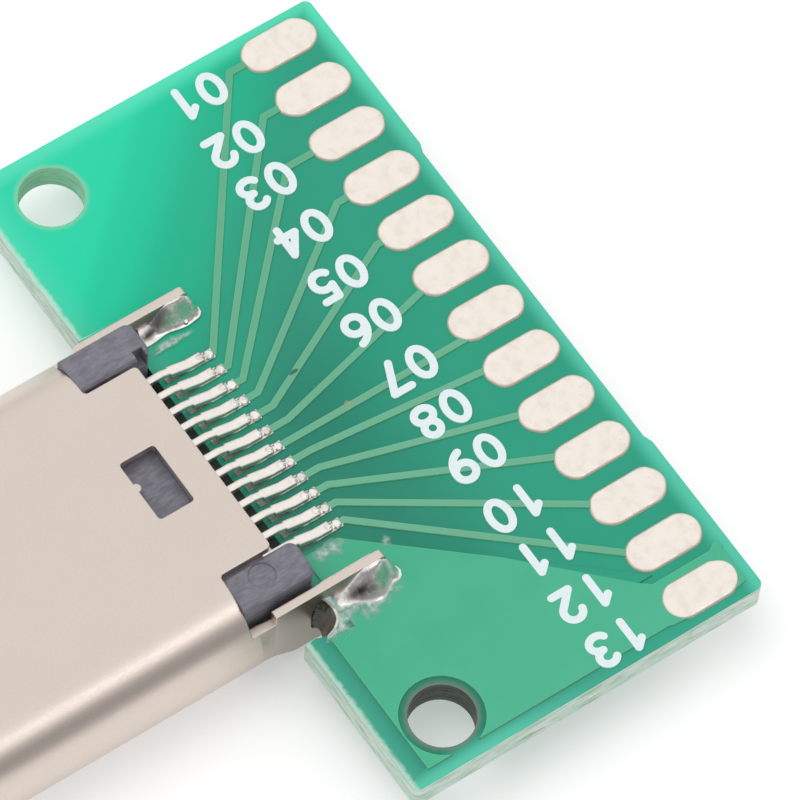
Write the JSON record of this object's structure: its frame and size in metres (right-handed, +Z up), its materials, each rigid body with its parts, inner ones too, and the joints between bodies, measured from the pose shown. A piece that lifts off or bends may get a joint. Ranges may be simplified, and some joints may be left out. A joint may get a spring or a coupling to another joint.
{
  "type": "usb-c breakout board",
  "caption": "Small green circuit board with a flat reversible plug clamped onto its front edge, a fan of tracks and a row of oval wire pads along its rear edge.",
  "frame": {"origin": "below the middle of the outline, on the plane of the plug shell's underside", "axes": "+X along the row of wire pads, +Y from the plug's mouth to the wire pads, +Z up from the shell's underside to the printed side"},
  "size_m": [0.0196, 0.0264, 0.0033],
  "materials": {
    "shell_steel": "satin plated drawn sheet",
    "spring_steel": "bare stamped sheet",
    "contact_metal": "copper alloy with tinned tails",
    "housing_plastic": "moulded, matt",
    "laminate": "green solder mask over glass laminate",
    "masked_copper": "copper under green solder mask",
    "tinned_copper": "hot tinned, smooth",
    "solder": "bright solder"
  },
  "bodies": {
    "root": {"board": "laminate", "plug_shell": "shell_steel", "front_housing": "housing_plastic", "rear_housing": "housing_plastic", "latch_plate": "spring_steel", "contact_a1": "contact_metal", "contact_a2": "contact_metal", "contact_a3": "contact_metal", "contact_a4": "contact_metal", "contact_a5": "contact_metal", "contact_a6": "contact_metal", "contact_a7": "contact_metal", "contact_a8": "contact_metal", "contact_a9": "contact_metal", "contact_a10": "contact_metal", "contact_a11": "contact_metal", "contact_a12": "contact_metal", "contact_b1": "contact_metal", "contact_b2": "contact_metal", "contact_b3": "contact_metal", "contact_b4": "contact_metal", "contact_b5": "contact_metal", "contact_b6": "contact_metal", "contact_b7": "contact_metal", "contact_b8": "contact_metal", "contact_b9": "contact_metal", "contact_b10": "contact_metal", "contact_b11": "contact_metal", "contact_b12": "contact_metal", "ground_spring_top": "spring_steel", "wire_pads_top": "tinned_copper", "contact_lands_top": "tinned_copper", "shell_pads_top": "tinned_copper", "tracks_top": "masked_copper", "ground_pour_top": "masked_copper", "tail_solder_top": "solder", "prong_solder_top": "solder", "ground_spring_bottom": "spring_steel", "wire_pads_bottom": "tinned_copper", "contact_lands_bottom": "tinned_copper", "shell_pads_bottom": "tinned_copper", "tracks_bottom": "masked_copper", "ground_pour_bottom": "masked_copper", "tail_solder_bottom": "solder", "prong_solder_bottom": "solder"}
  },
  "joints": []
}
